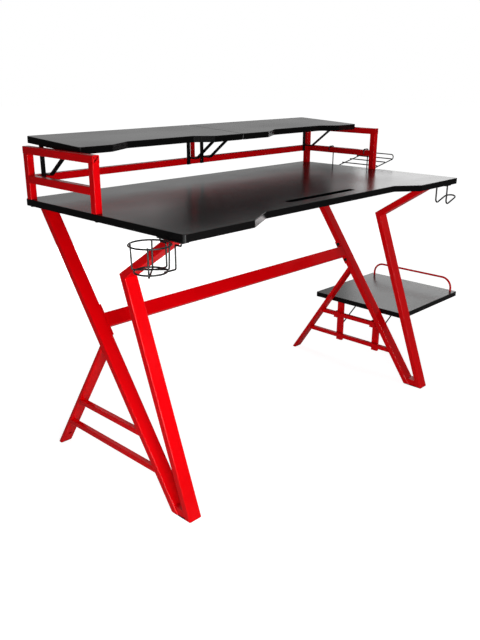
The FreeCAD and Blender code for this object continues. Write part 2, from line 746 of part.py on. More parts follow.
# Leg frames: mitred and butted tubes in one plane on each side
diagonal_rear = "diagonal_heel + diagonal_run * ({})"
diagonal_fore = "diagonal_heel - diagonal_span + diagonal_run * ({})"
front_rear = "front_heel + front_run * ({})"
rear_fore = "rear_heel - rear_span + rear_run * ({})"
bolt_reach = "stretcher_bolt_spacing / 2"
for side, sign in (("left", "-"), ("right", "")):
    x = sign + "leg_x"
    leg = side_tube(f"{side}_diagonal_leg", x, [
        (diagonal_rear.format("foot_pad_height"), "foot_pad_height"),
        (diagonal_fore.format("foot_pad_height"), "foot_pad_height"),
        (diagonal_fore.format("plate_bottom"), "plate_bottom"),
        (diagonal_rear.format("plate_bottom"), "plate_bottom"),
    ], "leg_width", "leg_depth", "leg_wall", "leg_corner_radius")
    bolt_holes = new_sketch(leg, "YZ_Plane")
    for turn in ("+", "-"):
        add_circle(bolt_holes, (
            f"stretcher_y {turn} {bolt_reach} * slope_sine",
            f"stretcher_height {turn} {bolt_reach} * slope_cosine",
        ), "bolt_hole")
    add_pocket(leg, bolt_holes, "leg_width", reverse=sign == "-")
    side_tube(f"{side}_front_leg", x, [
        ("front_foot", "foot_pad_height"),
        ("front_foot - front_span", "foot_pad_height"),
        ("knee_y", "knee_z"),
        ("bend_y", "bend_height"),
    ], "leg_width", "leg_depth", "leg_wall", "leg_corner_radius")
    side_tube(f"{side}_front_arm", x, [
        ("bend_y", "bend_height"),
        ("knee_y", "knee_z"),
        ("arm_top - arm_span", "plate_bottom"),
        ("arm_top", "plate_bottom"),
    ], "leg_width", "leg_depth", "leg_wall", "leg_corner_radius")
    rear_leg = side_tube(f"{side}_rear_leg", sign + "rear_leg_x", [
        ("rear_foot", "foot_pad_height"),
        ("rear_foot - rear_span", "foot_pad_height"),
        ("rear_low_y", "rear_low_z"),
        ("rear_top_y", "rear_leg_top"),
    ], "rear_leg_width", "rear_leg_depth", "leg_wall", "leg_corner_radius")
    through_hole = new_sketch(rear_leg, "XZ_Plane")
    through_hole.AttachmentOffset = Placement(Vector(), Rotation(Vector(1, 0, 0), 1))
    through_hole.setExpression("AttachmentOffset.Rotation.Angle", bound("atan(-rear_run)"))
    through_hole.setExpression("AttachmentOffset.Base.y", bound("leg_hole_height"))
    through_hole.setExpression("AttachmentOffset.Base.z", bound("-leg_hole_y"))
    add_circle(through_hole, ("0", "0"), "leg_hole_diameter")
    add_pocket(rear_leg, through_hole, "rear_leg_depth * 2", symmetric=True)
    for name in ("upper_rung", "lower_rung"):
        low = f"{name}_height - rung_size / 2"
        high = f"{name}_height + rung_size / 2"
        side_tube(f"{side}_{name}", sign + "rung_x", [
            (diagonal_rear.format(low), low),
            (diagonal_rear.format(high), high),
            (rear_fore.format(high), high),
            (rear_fore.format(low), low),
        ], "rung_size", "rung_size", "rung_wall", "rung_corner_radius")
    bridge = new_body(f"{side}_foot_bridge", x)
    profile = new_sketch(bridge, "YZ_Plane")
    add_polygon(profile, [
        (front_rear.format("foot_pad_height"), "foot_pad_height"),
        (diagonal_fore.format("foot_pad_height"), "foot_pad_height"),
        (diagonal_fore.format("bridge_top"), "bridge_top"),
        (front_rear.format("bridge_top"), "bridge_top"),
    ])
    add_pad(bridge, profile, "leg_width - 2 * leg_corner_radius", symmetric=True)

# Mount plates under the top, and the pads under the feet
pads = []
plates = []
leg_screws = []
for sign in (-1, 1):
    for name in ("front", "rear"):
        start = size(f"{name}_plate_front")
        plate = Part.makeBox(
            size("leg_width"), size(f"{name}_plate_back") - start, size("mount_plate_thickness"),
            Vector(sign * size("leg_x") - size("leg_width") / 2, start, size("plate_bottom")))
        for shift in (-1, 1):
            across = sign * size("leg_x") + shift * size("plate_screw_spacing") / 2
            seat = Vector(across, size(f"{name}_screw_y"), size("plate_bottom"))
            hole = Part.makeCylinder(size("screw_hole") / 2, size("mount_plate_thickness"), seat)
            plate = plate.cut(hole)
            leg_screws.append(wood_screw(seat, Vector(0, 0, 1),
                                         size("mount_plate_thickness") + size("screw_bite")))
        plates.append(plate)
    inset = size("foot_pad_inset")
    width = size("leg_width") - 2 * inset
    front = size("front_foot") - size("front_span") + inset
    pads.append(Part.makeBox(
        width, size("diagonal_foot") - inset - front, size("foot_pad_height"),
        Vector(sign * size("leg_x") - width / 2, front, 0)))
    width = size("rear_leg_width") - 2 * inset
    front = size("rear_foot") - size("rear_span") + inset
    pads.append(Part.makeBox(
        width, size("rear_foot") - inset - front, size("foot_pad_height"),
        Vector(sign * size("rear_leg_x") - width / 2, front, 0)))
add_node("mount_plates", Part.makeCompound(plates))
add_node("foot_pads", Part.makeCompound(pads))
add_node("leg_screws", Part.makeCompound(leg_screws))


# Stretcher: a tube between two plates that are bolted to the inner faces of the diagonals
def slope_point(along, across):
    """Formulas for a point in the section of the stretcher, along and across the slope of the leg."""
    return (f"stretcher_y + ({along}) * slope_sine + ({across}) * slope_cosine",
            f"stretcher_height + ({along}) * slope_cosine - ({across}) * slope_sine")


cross_tube("stretcher_beam", [
    slope_point("-stretcher_width / 2", "-leg_depth / 2"),
    slope_point("stretcher_width / 2", "-leg_depth / 2"),
    slope_point("stretcher_width / 2", "leg_depth / 2"),
    slope_point("-stretcher_width / 2", "leg_depth / 2"),
], ("stretcher_width", "leg_depth"), "stretcher_length", "leg_wall", "leg_corner_radius")
stretcher_bolts = []
for side, sign in (("left", "-"), ("right", "")):
    plate = new_body(f"stretcher_plate_{side}", f"{sign}(leg_inner - stretcher_plate_thickness / 2)")
    profile = new_sketch(plate, "YZ_Plane")
    add_polygon(profile, [
        slope_point("-stretcher_plate_length / 2", "-leg_depth / 2"),
        slope_point("stretcher_plate_length / 2", "-leg_depth / 2"),
        slope_point("stretcher_plate_length / 2", "leg_depth / 2"),
        slope_point("-stretcher_plate_length / 2", "leg_depth / 2"),
    ])
    add_pad(plate, profile, "stretcher_plate_thickness", symmetric=True)
    bolt_holes = new_sketch(plate, "YZ_Plane")
    add_circle(bolt_holes, slope_point(bolt_reach, "0"), "bolt_hole")
    add_circle(bolt_holes, slope_point("-" + bolt_reach, "0"), "bolt_hole")
    add_pocket(plate, bolt_holes, "stretcher_plate_thickness * 2", symmetric=True)
    outward = -1 if sign else 1
    for turn in (-1, 1):
        reach = turn * size("stretcher_bolt_spacing") / 2
        seat = Vector(
            outward * (size("leg_inner") - size("stretcher_plate_thickness")),
            size("stretcher_y") + reach * size("slope_sine"),
            size("stretcher_height") + reach * size("slope_cosine"))
        stretcher_bolts.append(bolt(seat, Vector(outward, 0, 0), size("leg_width") / 2))
add_node("stretcher_bolts", Part.makeCompound(stretcher_bolts))

# Cup holder: two rings, two crossing cradle wires, two mount wires and a plate
for name in ("top", "base"):
    ring = doc.addObject("Part::Torus", f"cup_{name}_ring")
    ring.Label = f"cup_{name}_ring"
    ring.setExpression("Radius1", bound(f"cup_{name}_radius"))
    ring.setExpression("Radius2", bound("cup_wire / 2"))
    ring.setExpression("Placement.Base.x", bound("cup_x"))
    ring.setExpression("Placement.Base.y", bound("cup_y"))
    ring.setExpression("Placement.Base.z", bound(f"cup_{name}"))
    nodes.append(ring)
cup_middle = Vector(size("cup_x"), size("cup_y"), 0)
cup_wire = size("cup_wire")
cup_pitch = size("cup_pitch")
for name, turn, level in (("lower", 45, -cup_pitch), ("upper", -45, cup_pitch)):
    heading = Rotation(Vector(0, 0, 1), turn).multVec(Vector(1, 0, 0))
    high = Vector(0, 0, size("cup_top") + cup_wire / 2)
    low = Vector(0, 0, size("cup_base") + level)
    rim = heading * (size("cup_top_radius") - cup_pitch)
    corner = heading * (size("cup_base_radius") + cup_pitch)
    points = [cup_middle - rim + high, cup_middle - corner + low,
              cup_middle + corner + low, cup_middle + rim + high]
    add_node(f"cup_cradle_{name}", bent_wire(points, cup_wire, [cup_wire] * 2))
mount_wires = []
for turn in (-1, 1):
    across = turn * size("cup_mount_spacing") / 2
    jog = turn * size("cup_mount_outer")
    low = size("cup_base") - cup_pitch
    level = size("desk_height") - size("cup_jog_drop")
    start = size("cup_x") + size("cup_base_radius") * 0.7
    mount_x = size("cup_mount_x")
    points = [
        Vector(start, size("cup_y") + across, low),
        Vector(mount_x, size("cup_y") + across, low),
        Vector(mount_x, size("cup_y") + across, level),
        Vector(mount_x, size("cup_y") + jog, level),
        Vector(mount_x, size("cup_y") + jog, size("plate_bottom")),
    ]
    mount_wires.append(bent_wire(points, cup_wire, [cup_wire * 0.9] * 3))
add_node("cup_mount_wires", Part.makeCompound(mount_wires))


def screw_plate(label, x, y, width, length, places):
    """A flat plate under the top with a hole for each of its screws."""
    plate = new_body(label, z="plate_bottom")
    outline = new_sketch(plate, "XY_Plane")
    add_polygon(outline, [
        (f"{x} - {width} / 2", f"{y} - {length} / 2"),
        (f"{x} + {width} / 2", f"{y} - {length} / 2"),
        (f"{x} + {width} / 2", f"{y} + {length} / 2"),
        (f"{x} - {width} / 2", f"{y} + {length} / 2"),
    ])
    for place in places:
        add_circle(outline, place, "screw_hole")
    add_pad(plate, outline, "mount_plate_thickness")


screw_plate("cup_mount_plate", "cup_plate_x", "cup_y", "cup_plate_width", "cup_plate_length",
            accessory_screw_places[:2])
screw_plate("headphone_plate", "hook_x", "hook_middle", "hook_plate_width", "hook_plate_length",
            accessory_screw_places[2:])
accessory_screws = []
for turn in (-1, 1):
    drive = size("mount_plate_thickness") + size("screw_bite")
    seat = Vector(size("cup_plate_x") + 2, size("cup_y") + turn * size("cup_mount_spacing") / 4,
                  size("plate_bottom"))
    accessory_screws.append(wood_screw(seat, Vector(0, 0, 1), drive))
    seat = Vector(size("hook_x") + turn * size("hook_plate_width") / 4, size("hook_middle"),
                  size("plate_bottom"))
    accessory_screws.append(wood_screw(seat, Vector(0, 0, 1), drive))
add_node("accessory_screws", Part.makeCompound(accessory_screws))

# Headphone hook: one wire that drops from the plate and runs out in a rounded loop
low = size("desk_height") - size("hook_drop")
tip = size("desk_height") - size("hook_tip_drop")
near = size("hook_front")
far = size("hook_front") + size("hook_spacing")
hook_tip_x = size("hook_x") + size("hook_reach")
hook_bends = [size("hook_bend_radius")]
hook_bends += [size("hook_loop_radius")] * 2
hook_bends += [size("hook_bend_radius")]
add_node("headphone_hook", bent_wire([
    Vector(size("hook_x"), near, size("plate_bottom")),
    Vector(size("hook_x"), near, low),
    Vector(hook_tip_x, near, tip),
    Vector(hook_tip_x, far, tip),
    Vector(size("hook_x"), far, low),
    Vector(size("hook_x"), far, size("plate_bottom")),
], size("hook_wire"), hook_bends))

# Controller rack: one long wire makes both hooks, both arms and the guard; three wires lie on its arms
rack_front = size("rack_front")
rack_back = rack_front + size("rack_length")
arm_shape = [
    (size("rack_inner_x"), size("rack_over") - size("rack_lip")),
    (size("rack_inner_x"), size("rack_over")),
    (size("rack_outer_x"), size("rack_over")),
    (size("rack_outer_x"), size("rack_low")),
    (size("rack_tip_x"), size("rack_tip_z")),
    (size("rack_tip_x"), size("rack_guard_z")),
]
rack_points = [Vector(x, rack_front, z) for x, z in arm_shape]
rack_points += [Vector(x, rack_back, z) for x, z in reversed(arm_shape)]
rack_wire = size("rack_wire")
rack_bends = [size("rack_bend_radius")] * 3 + [size("rack_guard_radius")] * 4 + [size("rack_bend_radius")] * 3
add_node("rack_frame_wire", bent_wire(rack_points, rack_wire, rack_bends))
slant = (size("rack_tip_z") - size("rack_low")) / (size("rack_tip_x") - size("rack_outer_x"))
lift = (rack_wire + size("wire_weld_gap")) * math.sqrt(1 + slant * slant)
tray_wires = []
for share in (0.37, 0.66, 0.92):
    x = size("rack_outer_x") + share * (size("rack_tip_x") - size("rack_outer_x"))
    z = size("rack_low") + slant * (x - size("rack_outer_x")) + lift
    start = Vector(x, rack_front - rack_wire / 2, z)
    tray_wires.append(Part.makeCylinder(rack_wire / 2, size("rack_length") + rack_wire, start,
                                        Vector(0, 1, 0)))
add_node("rack_tray_wires", Part.makeCompound(tray_wires))

# Computer stand: a square board on two hooked uprights with arms and braces
cpu = new_body("cpu_board", z="cpu_low")
outline = new_sketch(cpu, "XY_Plane")
add_polygon(outline, [
    ("cpu_left", "cpu_front"),
    ("cpu_left + cpu_board_size", "cpu_front"),
    ("cpu_left + cpu_board_size", "cpu_front + cpu_board_size"),
    ("cpu_left", "cpu_front + cpu_board_size"),
])
board = add_pad(cpu, outline, "board_thickness")
rounded = add_fillet(cpu, board, edges_along(board.Shape, Vector(0, 0, 1)), "shelf_corner_radius")
add_fillet(cpu, rounded, [face_at(rounded.Shape, Vector(0, 0, 1))], "board_edge_radius")
guard_seats = new_sketch(cpu, "XY_Plane", "board_thickness")
for place in ("guard_front", "guard_back"):
    add_circle(guard_seats, ("guard_x", place), "guard_wire + hole_clearance")
add_pocket(cpu, guard_seats, "guard_seat_depth")
upright_rows = ("upright_front_y", "upright_rear_y")
pilot_holes = new_sketch(cpu, "XY_Plane")
for row in upright_rows:
    for place in ("cpu_screw_near", "cpu_screw_far"):
        add_circle(pilot_holes, (place, row), "screw_hole")
add_pocket(cpu, pilot_holes, "screw_bite + hole_clearance", reverse=True)

guard_points = [
    Vector(size("guard_x"), size("guard_front"), size("cpu_board_top") - size("guard_seat_depth")),
    Vector(size("guard_x"), size("guard_front"), size("guard_top")),
    Vector(size("guard_x"), size("guard_back"), size("guard_top")),
    Vector(size("guard_x"), size("guard_back"), size("cpu_board_top") - size("guard_seat_depth")),
]
add_node("cpu_guard_rail", bent_wire(guard_points, size("guard_wire"), [size("guard_bend_radius")] * 2))

uprights = []
hangers = []
arms = []
braces = []
bumpers = []
cpu_screws = []
width = size("upright_width")
left = size("upright_x")
plate = size("hanger_thickness")
outer = left + size("upright_depth")
wall = size("upright_wall")
for row in map(size, upright_rows):
    front = row - width / 2
    height = size("arm_low") - size("upright_bottom")
    tube = Part.makeBox(size("upright_depth"), width, height, Vector(left, front, size("upright_bottom")))
    bore = Part.makeBox(size("upright_depth") - 2 * wall, width - 2 * wall, height,
                        Vector(left + wall, front + wall, size("upright_bottom")))
    long_edges = [edge for edge in tube.Edges if edge.Length > height - 1]
    uprights.append(tube.makeFillet(size("rung_corner_radius"), long_edges).cut(bore))

    reach = left - size("hanger_inner") + plate
    drop = size("hanger_drop") + plate
    block = Part.makeBox(reach, width, drop,
                         Vector(size("hanger_inner") - plate, front, size("hanger_top") - drop))
    gap = Part.makeBox(reach - 2 * plate, width, drop - plate,
                       Vector(size("hanger_inner"), front, size("hanger_top") - drop))
    hangers.append(block.cut(gap))

    arm = Part.makeBox(size("arm_length"), width, size("arm_thickness"), Vector(left, front, size("arm_low")))
    for place in ("cpu_screw_near", "cpu_screw_far"):
        seat = Vector(size(place), row, size("arm_low"))
        arm = arm.cut(Part.makeCylinder(size("screw_hole") / 2, size("arm_thickness"), seat))
        cpu_screws.append(wood_screw(seat, Vector(0, 0, 1), size("arm_thickness") + size("screw_bite")))
    arms.append(arm)

    brace_y = front + size("rung_corner_radius") + size("brace_wire") / 2
    foot = Vector(outer, brace_y, size("arm_low") - size("brace_start_drop"))
    head = Vector(outer + size("brace_reach"), brace_y, size("arm_low"))
    line = head - foot
    rod = Part.makeCylinder(size("brace_wire") / 2, line.Length * 1.4, foot - line * 0.2, line)
    room = Part.makeBox(size("arm_length"), width, size("arm_low") - size("upright_bottom"),
                        Vector(outer, front, size("upright_bottom")))
    braces.append(rod.common(room))

    start = size("rung_outer") + size("hanger_gap")
    bumpers.append(Part.makeBox(left - start, width, size("bumper_height"),
                                Vector(start, front, size("lower_rung_height") - size("bumper_height") / 2)))
add_node("cpu_uprights", Part.makeCompound(uprights))
add_node("cpu_hooks", Part.makeCompound(hangers))
add_node("cpu_arms", Part.makeCompound(arms))
add_node("cpu_braces", Part.makeCompound(braces))
add_node("cpu_bumpers", Part.makeCompound(bumpers))
add_node("cpu_screws", Part.makeCompound(cpu_screws))

# Every feature and every piece must be sound before anything is written
doc.recompute()
for item in doc.Objects:
    if "Invalid" in item.State or "Error" in item.State:
        raise RuntimeError("failed: " + item.Label)
os.makedirs("parts", exist_ok=True)
for node in nodes:
    if node.Shape.isNull() or not node.Shape.isValid():
        raise RuntimeError("bad shape: " + node.Label)
for node in nodes:
    node.Shape.exportStep(f"parts/{node.Label}.step")
print(len(nodes), "pieces written")
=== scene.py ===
import math

import bpy
from mathutils import Matrix, Quaternion, Vector


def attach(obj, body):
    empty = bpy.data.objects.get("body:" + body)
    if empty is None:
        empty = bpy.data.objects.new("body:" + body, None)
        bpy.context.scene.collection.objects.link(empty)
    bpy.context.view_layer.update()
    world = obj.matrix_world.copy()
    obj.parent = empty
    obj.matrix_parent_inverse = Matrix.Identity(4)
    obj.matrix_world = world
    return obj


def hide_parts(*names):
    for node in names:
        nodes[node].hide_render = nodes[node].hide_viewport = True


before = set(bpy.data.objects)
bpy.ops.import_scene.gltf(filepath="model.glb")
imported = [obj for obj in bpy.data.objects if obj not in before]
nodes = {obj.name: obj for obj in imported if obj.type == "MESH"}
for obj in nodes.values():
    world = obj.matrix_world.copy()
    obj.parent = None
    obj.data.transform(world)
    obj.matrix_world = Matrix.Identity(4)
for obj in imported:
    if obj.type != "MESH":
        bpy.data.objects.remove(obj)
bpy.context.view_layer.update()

scene = bpy.context.scene
MM = 0.001

# Camera at the photograph's angle, for a picture 480 wide and 640 high
EYE = Vector((-1.5742, -1.43105, 1.07831))
LOOK = Vector((0.67826, 0.65489, -0.33328))
ROLL = math.radians(0.117)
SENSOR = 36.0
LENS = 39.613
FAR_CLIP = 100.0

camera_data = bpy.data.cameras.new("camera")
camera_data.sensor_width = SENSOR
camera_data.lens = LENS
camera_data.clip_end = FAR_CLIP
camera = bpy.data.objects.new("camera", camera_data)
camera.location = EYE
camera.rotation_mode = "QUATERNION"
camera.rotation_quaternion = LOOK.to_track_quat("-Z", "Y") @ Quaternion((0.0, 0.0, 1.0), ROLL)
scene.collection.objects.link(camera)
scene.camera = camera
scene.view_settings.view_transform = "Standard"


# Finishes: how detailed a grain is, its spots per metre, and the metres of relief that it raises
SOFT = 2.0
FINE = 4.0
COAT_DRIFT = 5.0
COAT_PATCHES = 45.0
COAT_PEEL = 620.0
COAT_RELIEF = 0.0004
COAT_RELIEF_SHARE = 0.12
COAT_ROUGH = 0.16
FILM_DRIFT = 3.5
FILM_PRESSED = (300.0, 900.0, 900.0)
FILM_WIPES = (5.0, 8.0, 8.0)
FILM_RELIEF = 0.00004
FILM_RELIEF_SHARE = 0.05
PLATING_MOTTLE = 260.0
PLATING_WEAR = 900.0
PLATING_RELIEF = 0.0002
PLATING_RELIEF_SHARE = 0.1
MOULD_DRIFT = 30.0
MOULD_PATCHES = 110.0
MOULD_SPECULAR = 0.2
MOULD_RELIEF_SHARE = 0.3


def add_part(tree, kind, **inputs):
    """One shader part with its inputs set or joined up."""
    part = tree.nodes.new(kind)
    for name, value in inputs.items():
        socket = part.inputs[name]
        if isinstance(value, bpy.types.NodeSocket):
            tree.links.new(value, socket)
        else:
            socket.default_value = value
    return part


def start_finish(name):
    """A new finish: its shader tree, its surface shader and the object's own coordinates."""
    finish = bpy.data.materials.new(name)
    finish.use_nodes = True
    tree = finish.node_tree
    shader = tree.nodes["Principled BSDF"]
    place = tree.nodes.new("ShaderNodeTexCoord").outputs["Object"]
    return finish, tree, shader, place


def stretch(tree, place, scale):
    """The same coordinates with each axis scaled."""
    return add_part(tree, "ShaderNodeMapping", Vector=place, Scale=scale).outputs["Vector"]


def grain(tree, place, scale, detail=3.0, roughness=0.5):
    """A soft noise of that many spots per metre."""
    part = add_part(tree, "ShaderNodeTexNoise", Vector=place, Scale=scale, Detail=detail,
                    Roughness=roughness)
    return part.outputs["Fac"]


def spread(tree, value, low, high, start=0.3, end=0.7):
    """Turn the middle of a noise into a range of numbers."""
    part = tree.nodes.new("ShaderNodeMapRange")
    tree.links.new(value, part.inputs["Value"])
    for name, number in (("From Min", start), ("From Max", end), ("To Min", low), ("To Max", high)):
        part.inputs[name].default_value = number
    return part.outputs["Result"]


def shade(tree, value, dark, light, start=0.3, end=0.7):
    """Turn a noise into a run of colour between two tones."""
    ramp = tree.nodes.new("ShaderNodeValToRGB")
    ramp.color_ramp.elements[0].position = start
    ramp.color_ramp.elements[1].position = end
    ramp.color_ramp.elements[0].color = (*dark, 1.0)
    ramp.color_ramp.elements[1].color = (*light, 1.0)
    tree.links.new(value, ramp.inputs["Fac"])
    return ramp.outputs["Color"]


def raise_bumps(tree, shader, height, depth, strength):
    """Let a noise raise the surface a little."""
    part = add_part(tree, "ShaderNodeBump", Height=height, Distance=depth, Strength=strength)
    tree.links.new(part.outputs["Normal"], shader.inputs["Normal"])


def powder_coat(name, dark, light, smooth, rough, specular, coat=0.0):
    """Baked powder paint: a broad drift of tone, and the fine orange peel of the cured film."""
    finish, tree, shader, place = start_finish(name)
    drift = grain(tree, place, COAT_DRIFT, detail=SOFT)
    patches = grain(tree, place, COAT_PATCHES)
    peel = grain(tree, place, COAT_PEEL, detail=SOFT)
    tree.links.new(shade(tree, drift, dark, light), shader.inputs["Base Color"])
    tree.links.new(spread(tree, patches, smooth, rough), shader.inputs["Roughness"])
    shader.inputs["Specular IOR Level"].default_value = specular
    shader.inputs["Coat Weight"].default_value = coat
    shader.inputs["Coat Roughness"].default_value = COAT_ROUGH
    raise_bumps(tree, shader, peel, COAT_RELIEF, COAT_RELIEF_SHARE)
    return finish


def board_film(name, dark, light, smooth, rough, specular):
    """Black film on a board: a fine pressed grain along the board, and faint wipe marks in the gloss."""
    finish, tree, shader, place = start_finish(name)
    drift = grain(tree, place, FILM_DRIFT, detail=FINE)
    pressed = grain(tree, stretch(tree, place, FILM_PRESSED), 1.0, detail=SOFT)
    wipes = grain(tree, stretch(tree, place, FILM_WIPES), 1.0, detail=SOFT)
    tree.links.new(shade(tree, drift, dark, light), shader.inputs["Base Color"])
    tree.links.new(spread(tree, wipes, smooth, rough), shader.inputs["Roughness"])
    shader.inputs["Specular IOR Level"].default_value = specular
    raise_bumps(tree, shader, pressed, FILM_RELIEF, FILM_RELIEF_SHARE)
    return finish


def plated_steel(name, dark, light, smooth, rough):
    """Dark plating on the screws and bolts."""
    finish, tree, shader, place = start_finish(name)
    mottle = grain(tree, place, PLATING_MOTTLE, detail=FINE)
    wear = grain(tree, place, PLATING_WEAR)
    tree.links.new(shade(tree, mottle, dark, light), shader.inputs["Base Color"])
    tree.links.new(spread(tree, wear, smooth, rough), shader.inputs["Roughness"])
    shader.inputs["Metallic"].default_value = 1.0
    raise_bumps(tree, shader, mottle, PLATING_RELIEF, PLATING_RELIEF_SHARE)
    return finish


def moulded(name, dark, light, smooth, rough, pebble, depth):
    """Moulded rubber or plastic with a matt pebbled skin."""
    finish, tree, shader, place = start_finish(name)
    skin = grain(tree, place, pebble, detail=SOFT)
    drift = grain(tree, place, MOULD_DRIFT)
    patches = grain(tree, place, MOULD_PATCHES)
    tree.links.new(shade(tree, drift, dark, light), shader.inputs["Base Color"])
    tree.links.new(spread(tree, patches, smooth, rough), shader.inputs["Roughness"])
    shader.inputs["Specular IOR Level"].default_value = MOULD_SPECULAR
    raise_bumps(tree, shader, skin, depth, MOULD_RELIEF_SHARE)
    return finish


RED_DARK = (0.7, 0.0, 0.002)
RED_LIGHT = (0.8, 0.0, 0.003)
BLACK_DARK = (0.0035, 0.0035, 0.0036)
BLACK_LIGHT = (0.0062, 0.006, 0.006)
BOARD_DARK = (0.0022, 0.0022, 0.0023)
BOARD_LIGHT = (0.0042, 0.004, 0.004)
PLATING_DARK = (0.03, 0.03, 0.03)
PLATING_LIGHT = (0.06, 0.058, 0.056)
RUBBER_DARK = (0.01, 0.01, 0.01)
RUBBER_LIGHT = (0.02, 0.019, 0.019)

red_steel = powder_coat("red_powder_coat", RED_DARK, RED_LIGHT, 0.32, 0.42, 0.04, coat=0.3)
black_steel = powder_coat("black_powder_coat", BLACK_DARK, BLACK_LIGHT, 0.36, 0.48, 0.3)
dark_wire = powder_coat("dark_wire_coat", BLACK_DARK, BLACK_LIGHT, 0.26, 0.36, 0.5)
black_board = board_film("black_board_film", BOARD_DARK, BOARD_LIGHT, 0.22, 0.26, 0.15)
screw_steel = plated_steel("screw_plating", PLATING_DARK, PLATING_LIGHT, 0.34, 0.5)
pad_rubber = moulded("foot_rubber", RUBBER_DARK, RUBBER_LIGHT, 0.6, 0.78, 700.0, 0.0004)
plug_plastic = moulded("red_plug_plastic", RED_DARK, RED_LIGHT, 0.4, 0.5, 900.0, 0.0002)

BLACK_STEEL_WORDS = ("shelf_bracket", "cup_mount_plate", "headphone_plate")
WIRE_WORDS = ("cup_", "headphone_hook", "rack_", "cpu_braces")
SCREW_WORDS = ("screws", "bolts")


def finish_for(name):
    """The finish of a node, from the words in its name."""
    if name.endswith(SCREW_WORDS):
        return screw_steel
    if "_board" in name:
        return black_board
    if name.startswith(BLACK_STEEL_WORDS):
        return black_steel
    if name.startswith(WIRE_WORDS):
        return dark_wire
    if name in ("foot_pads", "cpu_bumpers"):
        return pad_rubber
    if name == "rail_end_plugs":
        return plug_plastic
    return red_steel


for name, node in nodes.items():
    node.data.materials.clear()
    node.data.materials.append(finish_for(name))


# Small pieces
FACING = 0.9
SMOOTH_ANGLE = math.radians(35.0)
PIN_SIDES = 28
TIP_SHARE = 0.8
TIP_TAPER = 0.4


def start_piece(add, **settings):
    """Add a primitive with nothing else selected, and go on with it."""
    if bpy.context.mode != "OBJECT":
        bpy.ops.object.mode_set(mode="OBJECT")
    bpy.ops.object.select_all(action="DESELECT")
    add(**settings)
    bpy.ops.object.transform_apply(location=True, rotation=True, scale=True)
    return bpy.context.object


def select_faces(piece, test):
    """Select only the faces that pass the test, ready for the next step in edit mode."""
    bpy.ops.object.mode_set(mode="EDIT")
    bpy.ops.mesh.select_mode(type="FACE")
    bpy.ops.mesh.select_all(action="DESELECT")
    bpy.ops.object.mode_set(mode="OBJECT")
    for face in piece.data.polygons:
        face.select = test(face)
    bpy.ops.object.mode_set(mode="EDIT")


def select_edges(piece, test):
    """Select only the edges whose two ends pass the test."""
    bpy.ops.object.mode_set(mode="EDIT")
    bpy.ops.mesh.select_mode(type="EDGE")
    bpy.ops.mesh.select_all(action="DESELECT")
    bpy.ops.object.mode_set(mode="OBJECT")
    points = piece.data.vertices
    for edge in piece.data.edges:
        edge.select = test(points[edge.vertices[0]].co, points[edge.vertices[1]].co)
    bpy.ops.object.mode_set(mode="EDIT")


def faces_up(face):
    return face.normal.z > FACING


def faces_down(face):
    return face.normal.z < -FACING


def extrude_by(offset):
    bpy.ops.mesh.extrude_region_move(TRANSFORM_OT_translate={"value": offset})


def cut_away(piece, cutter):
    """Take the cutter's shape out of the piece, and the cutter away."""
    bpy.ops.object.select_all(action="DESELECT")
    bpy.context.view_layer.objects.active = piece
    piece.select_set(True)
    cut = piece.modifiers.new("drive", "BOOLEAN")
    cut.operation = "DIFFERENCE"
    cut.solver = "EXACT"
    cut.object = cutter
    bpy.ops.object.modifier_apply(modifier=cut.name)
    bpy.data.objects.remove(cutter)


def turned_pin(head_radius, head_height, shank_radius, length, rim):
    """A screw or bolt, head up: a rounded head on its seat, a shank under it and a blunt tip."""
    pin = start_piece(bpy.ops.mesh.primitive_cylinder_add, vertices=PIN_SIDES, radius=head_radius,
                      depth=head_height, location=(0.0, 0.0, head_height / 2))
    select_faces(pin, faces_up)
    bpy.ops.mesh.bevel(offset=rim, segments=3, affect="EDGES")
    select_faces(pin, faces_down)
    bpy.ops.mesh.inset(thickness=head_radius - shank_radius)
    tip = shank_radius * TIP_SHARE
    extrude_by((0.0, 0.0, tip - length))
    extrude_by((0.0, 0.0, -tip))
    bpy.ops.transform.resize(value=(TIP_TAPER, TIP_TAPER, 1.0))
    bpy.ops.object.mode_set(mode="OBJECT")
    return pin


def place_copies(pattern, name, places, body, node, finish):
    """Copy a pattern to each place, join the copies and let them stand for the solids."""
    copies = []
    for seat, direction in places:
        copy = pattern.copy()
        copy.data = pattern.data.copy()
        scene.collection.objects.link(copy)
        turn = Vector((0.0, 0.0, -1.0)).rotation_difference(Vector(direction))
        copy.matrix_world = Matrix.Translation(Vector(seat) * MM) @ turn.to_matrix().to_4x4()
        copies.append(copy)
    bpy.ops.object.select_all(action="DESELECT")
    for copy in copies:
        copy.select_set(True)
    bpy.context.view_layer.objects.active = copies[0]
    bpy.ops.object.transform_apply(location=True, rotation=True, scale=True)
    bpy.ops.object.join()
    finish_piece(bpy.context.object, name, body, node, finish)


def finish_piece(piece, name, body, node, finish):
    """Smooth a piece, name and finish it, and let it ride in its node's place."""
    bpy.ops.object.shade_smooth_by_angle(angle=SMOOTH_ANGLE)
    piece.name = name
    piece.data.name = name
    piece.data.materials.clear()
    piece.data.materials.append(finish)
    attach(piece, body)
    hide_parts(node)


# Wood screws with a crossed drive
SCREW_HEAD = 4.0 * MM
SCREW_HEAD_HEIGHT = 2.5 * MM
SCREW_SHANK = 2.0 * MM
SCREW_LENGTH = 13.0 * MM
SCREW_RIM = 1.0 * MM
SLOT_LENGTH = 4.6 * MM
SLOT_WIDTH = 1.0 * MM
SLOT_DEPTH = 1.5 * MM
SLOT_TAPER = 0.7

